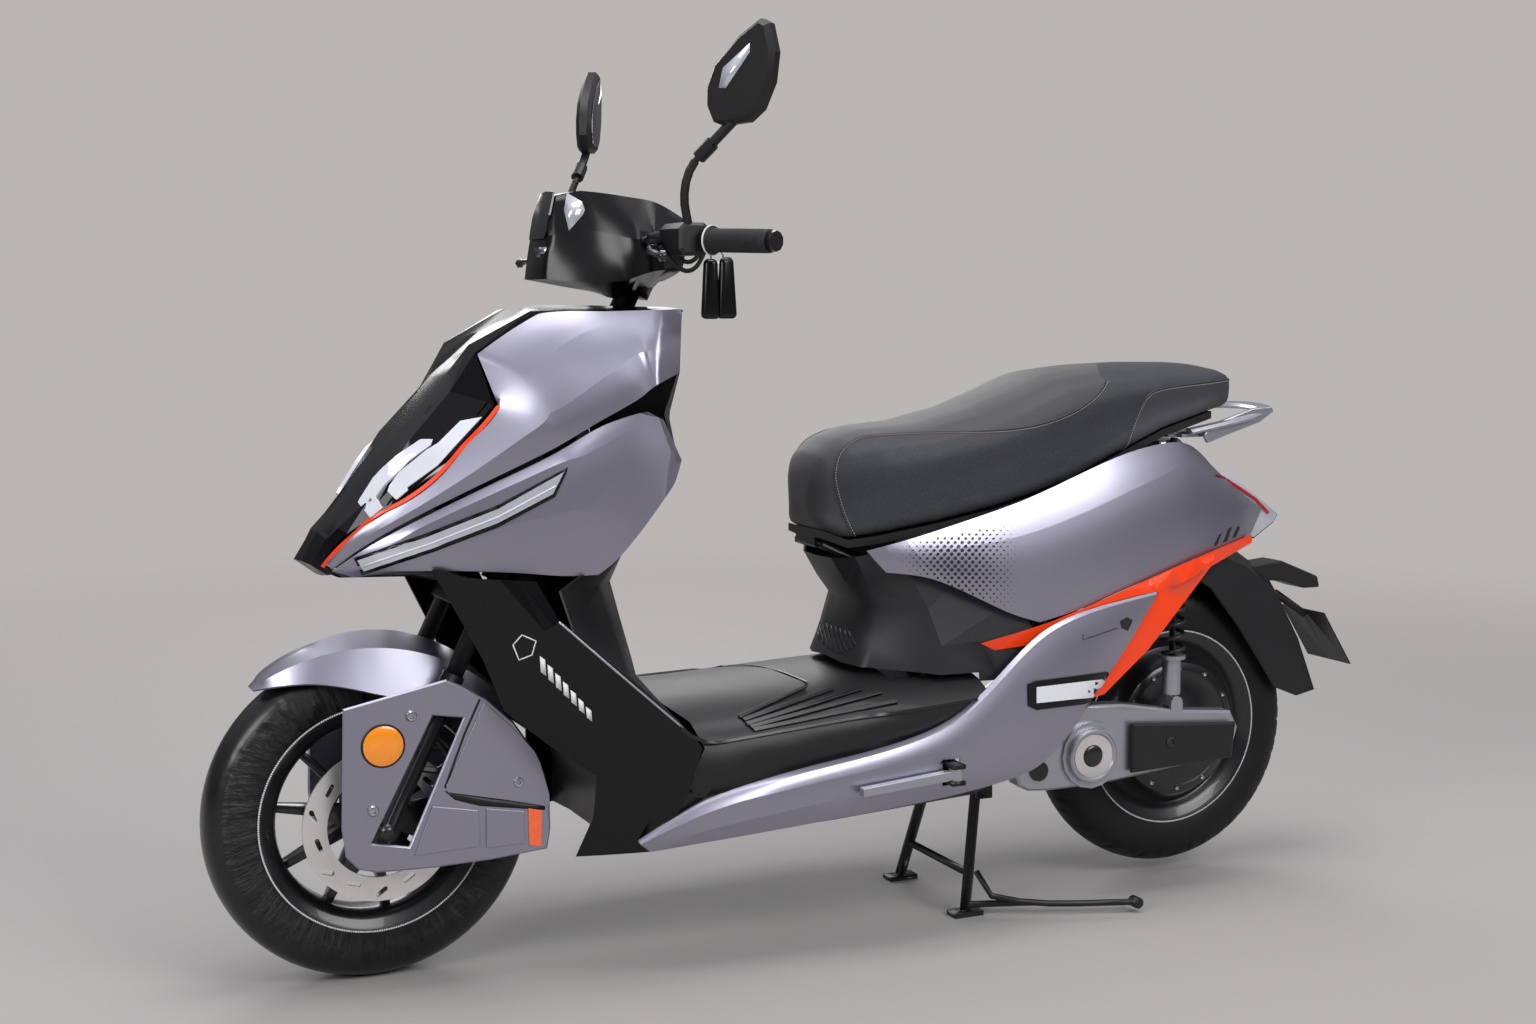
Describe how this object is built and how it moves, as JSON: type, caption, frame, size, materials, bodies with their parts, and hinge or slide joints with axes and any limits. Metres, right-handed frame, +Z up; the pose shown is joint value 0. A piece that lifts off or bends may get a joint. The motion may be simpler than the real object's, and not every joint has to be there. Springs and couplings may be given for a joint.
{
  "type": "seated electric scooter",
  "caption": "Seated electric scooter on its centre stand, with step-through deck, telescopic fork, swinging arm with hub motor, hinged seat and folding pegs.",
  "frame": {"origin": "on the ground, at the middle of the length and of the width", "axes": "+X towards the front wheel, +Y towards the rider's left, +Z up"},
  "size_m": [1.931, 0.735, 1.3222],
  "materials": {
    "frame_steel": "satin black powder coat",
    "grey_paint": "metallic lilac grey paint on moulded ABS",
    "black_gloss": "gloss black moulded ABS",
    "black_satin": "fine grained black polypropylene",
    "orange_plastic": "gloss orange moulded ABS",
    "seat_cover": "charcoal vinyl with pale stitching",
    "grip_rubber": "ribbed black rubber",
    "tyre_rubber": "black tyre rubber",
    "silver_alloy": "satin silver paint on cast aluminium",
    "black_alloy": "satin black paint on cast aluminium",
    "disc_steel": "turned stainless steel",
    "clear_lens": "clear polycarbonate",
    "red_lens": "red acrylic",
    "smoked_screen": "smoked polycarbonate"
  },
  "bodies": {
    "chassis": {"main_frame": "frame_steel", "battery_pack": "black_satin", "motor_controller": "silver_alloy", "upper_wing_L": "grey_paint", "upper_wing_R": "grey_paint", "lower_wing_L": "grey_paint", "lower_wing_R": "grey_paint", "front_mask": "black_gloss", "headlight_L": "clear_lens", "headlight_R": "clear_lens", "leg_cover_L": "black_gloss", "leg_cover_R": "black_gloss", "leg_shield": "black_satin", "floor_board": "black_satin", "under_seat_cover": "black_satin", "side_panel_L": "grey_paint", "side_panel_R": "grey_paint", "side_fairing_L": "grey_paint", "side_fairing_R": "grey_paint", "tail_trim_L": "orange_plastic", "tail_trim_R": "orange_plastic", "belly_tray": "black_satin", "tail_light": "red_lens", "grab_rail": "silver_alloy", "rear_mudguard": "black_satin"},
    "steering": {"steering_column": "frame_steel", "handlebar_cowl": "black_gloss", "windscreen": "smoked_screen", "switch_pod_L": "black_satin", "switch_pod_R": "black_satin", "grip_L": "grip_rubber"},
    "throttle": {"throttle_grip": "grip_rubber"},
    "brake_lever_left": {"brake_lever_L": "frame_steel"},
    "brake_lever_right": {"brake_lever_R": "frame_steel"},
    "mirror_left": {"mirror_head_L": "black_gloss"},
    "mirror_right": {"mirror_head_R": "black_gloss"},
    "horn": {"horn_button": "grip_rubber"},
    "fork_lower": {"fork_lowers": "frame_steel", "front_mudguard": "grey_paint", "fork_guard_L": "grey_paint", "fork_guard_R": "grey_paint", "brake_caliper": "disc_steel"},
    "front_wheel": {"front_rim": "black_alloy", "front_tyre": "tyre_rubber", "brake_disc": "disc_steel"},
    "swing_arm": {"swingarm": "silver_alloy", "arm_cover": "black_satin"},
    "rear_wheel": {"hub_motor": "black_alloy", "rear_tyre": "tyre_rubber"},
    "seat": {"seat_base": "black_satin", "seat_cushion": "seat_cover"},
    "shock_upper_left": {"shock_upper_L": "frame_steel", "shock_spring_L": "frame_steel"},
    "shock_upper_right": {"shock_upper_R": "frame_steel", "shock_spring_R": "frame_steel"},
    "shock_lower_left": {"shock_lower_L": "silver_alloy"},
    "shock_lower_right": {"shock_lower_R": "silver_alloy"},
    "stand": {"centre_stand": "frame_steel"},
    "footpeg_left": {"footpeg_L": "silver_alloy"},
    "footpeg_right": {"footpeg_R": "silver_alloy"}
  },
  "joints": [
    {"name": "steer", "type": "hinge", "parent": "chassis", "child": "steering", "pos_m": [0.70107, 0, 0.21766], "axis": [-0.4384, 0, 0.8988], "range_deg": [-35, 35]},
    {"name": "fork_travel", "type": "slide", "parent": "steering", "child": "fork_lower", "axis": [-0.4384, 0, 0.8988], "range_m": [0, 0.045], "stiffness_N_per_m": 9000, "springref_m": -0.04},
    {"name": "front_spin", "type": "hinge", "parent": "fork_lower", "child": "front_wheel", "pos_m": [0.73252, 0, 0.233], "axis": [0, 1, 0], "continuous": true},
    {"name": "throttle_twist", "type": "hinge", "parent": "steering", "child": "throttle", "pos_m": [0.30652, -0.252, 1.038], "axis": [-0.4318, -0.9015, -0.028], "range_deg": [0, 70], "stiffness_Nm_per_rad": 0.5, "springref_deg": -28.65},
    {"name": "brake_lever_left_pull", "type": "hinge", "parent": "steering", "child": "brake_lever_left", "pos_m": [0.36052, 0.175, 1.03], "axis": [0, 0, 1], "range_deg": [0, 15], "stiffness_Nm_per_rad": 2, "springref_deg": -17.19},
    {"name": "brake_lever_right_pull", "type": "hinge", "parent": "steering", "child": "brake_lever_right", "pos_m": [0.36052, -0.175, 1.03], "axis": [0, 0, 1], "range_deg": [-15, 0], "stiffness_Nm_per_rad": 2, "springref_deg": 17.19},
    {"name": "mirror_left_aim", "type": "hinge", "parent": "steering", "child": "mirror_left", "pos_m": [0.31952, 0.265, 1.157], "axis": [-0.4638, 0.603, 0.6491], "range_deg": [-20, 20]},
    {"name": "mirror_right_aim", "type": "hinge", "parent": "steering", "child": "mirror_right", "pos_m": [0.31952, -0.265, 1.157], "axis": [-0.4638, -0.603, 0.6491], "range_deg": [-20, 20]},
    {"name": "horn_press", "type": "slide", "parent": "steering", "child": "horn", "axis": [1, 0, 0], "range_m": [0, 0.003], "stiffness_N_per_m": 600, "springref_m": -0.002},
    {"name": "swing", "type": "hinge", "parent": "chassis", "child": "swing_arm", "pos_m": [-0.28948, 0, 0.225], "axis": [0, 1, 0], "range_deg": [0, 10], "stiffness_Nm_per_rad": 2600, "springref_deg": -4.58, "deforming": ["shock_spring_L", "shock_spring_R"]},
    {"name": "rear_spin", "type": "hinge", "parent": "swing_arm", "child": "rear_wheel", "pos_m": [-0.60748, 0, 0.249], "axis": [0, 1, 0], "continuous": true},
    {"name": "shock_left_top", "type": "hinge", "parent": "chassis", "child": "shock_upper_left", "pos_m": [-0.54748, 0.121, 0.572], "axis": [0, 1, 0], "range_deg": [-6, 0]},
    {"name": "shock_left_foot", "type": "hinge", "parent": "swing_arm", "child": "shock_lower_left", "pos_m": [-0.54748, 0.121, 0.312], "axis": [0, 1, 0], "range_deg": [-16, 0]},
    {"name": "shock_right_top", "type": "hinge", "parent": "chassis", "child": "shock_upper_right", "pos_m": [-0.54748, -0.121, 0.572], "axis": [0, 1, 0], "range_deg": [-6, 0]},
    {"name": "shock_right_foot", "type": "hinge", "parent": "swing_arm", "child": "shock_lower_right", "pos_m": [-0.54748, -0.121, 0.312], "axis": [0, 1, 0], "range_deg": [-16, 0]},
    {"name": "stand_fold", "type": "hinge", "parent": "chassis", "child": "stand", "pos_m": [-0.21448, 0, 0.193], "axis": [0, 1, 0], "range_deg": [0, 60]},
    {"name": "seat_lift", "type": "hinge", "parent": "chassis", "child": "seat", "pos_m": [0.04252, 0, 0.588], "axis": [0, 1, 0], "range_deg": [0, 65]},
    {"name": "footpeg_left_turn", "type": "hinge", "parent": "chassis", "child": "footpeg_left", "pos_m": [-0.09548, 0.222, 0.257], "axis": [0, 0, 1], "range_deg": [0, 90]},
    {"name": "footpeg_right_turn", "type": "hinge", "parent": "chassis", "child": "footpeg_right", "pos_m": [-0.09548, -0.222, 0.257], "axis": [0, 0, 1], "range_deg": [-90, 0]}
  ],
  "couplings": [
    {"joint": "shock_left_top", "follows": "swing", "ratio": -0.502},
    {"joint": "shock_left_foot", "follows": "swing", "ratio": -1.502},
    {"joint": "shock_right_top", "follows": "swing", "ratio": -0.502},
    {"joint": "shock_right_foot", "follows": "swing", "ratio": -1.502}
  ]
}
